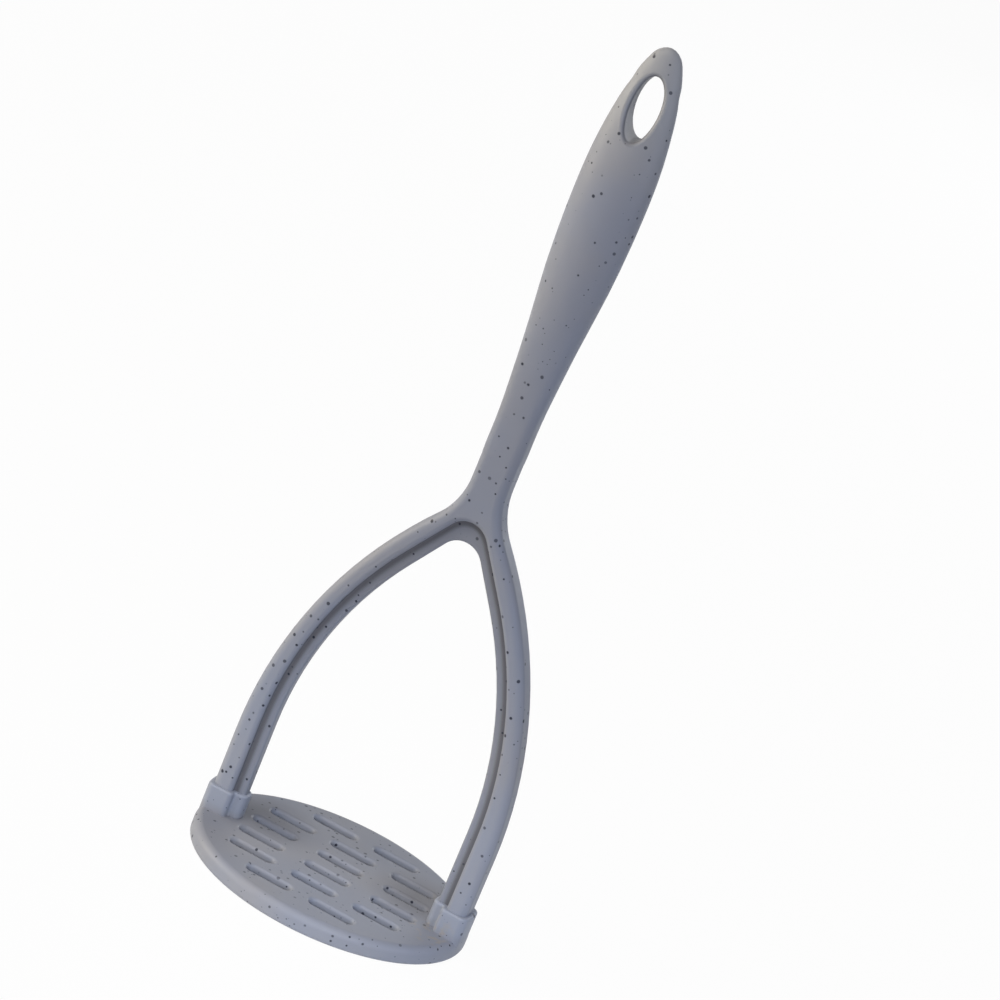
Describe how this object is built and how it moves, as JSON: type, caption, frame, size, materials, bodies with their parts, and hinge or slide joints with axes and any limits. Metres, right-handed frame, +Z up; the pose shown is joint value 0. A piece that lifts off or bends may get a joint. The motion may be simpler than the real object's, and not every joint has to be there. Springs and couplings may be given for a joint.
{
  "type": "potato masher",
  "caption": "Hand masher with a soft-skinned handle, an oval hanging hole and a forked yoke that stands in collars on a slotted oval plate.",
  "frame": {"origin": "on the floor under the middle of the plate", "axes": "+Z up along the handle to its tip, X along the row of the two arms, the front of the handle looks towards -Y"},
  "size_m": [0.09, 0.075, 0.275],
  "materials": {
    "soft_skin": "soft matte silicone with dark specks",
    "stiff_core": "moulded nylon",
    "pin_steel": "drawn steel"
  },
  "bodies": {
    "root": {"handle_skin": "soft_skin", "plate_skin": "soft_skin", "handle_core": "stiff_core", "plate_core": "stiff_core", "left_lock_pin": "pin_steel", "right_lock_pin": "pin_steel"}
  },
  "joints": []
}
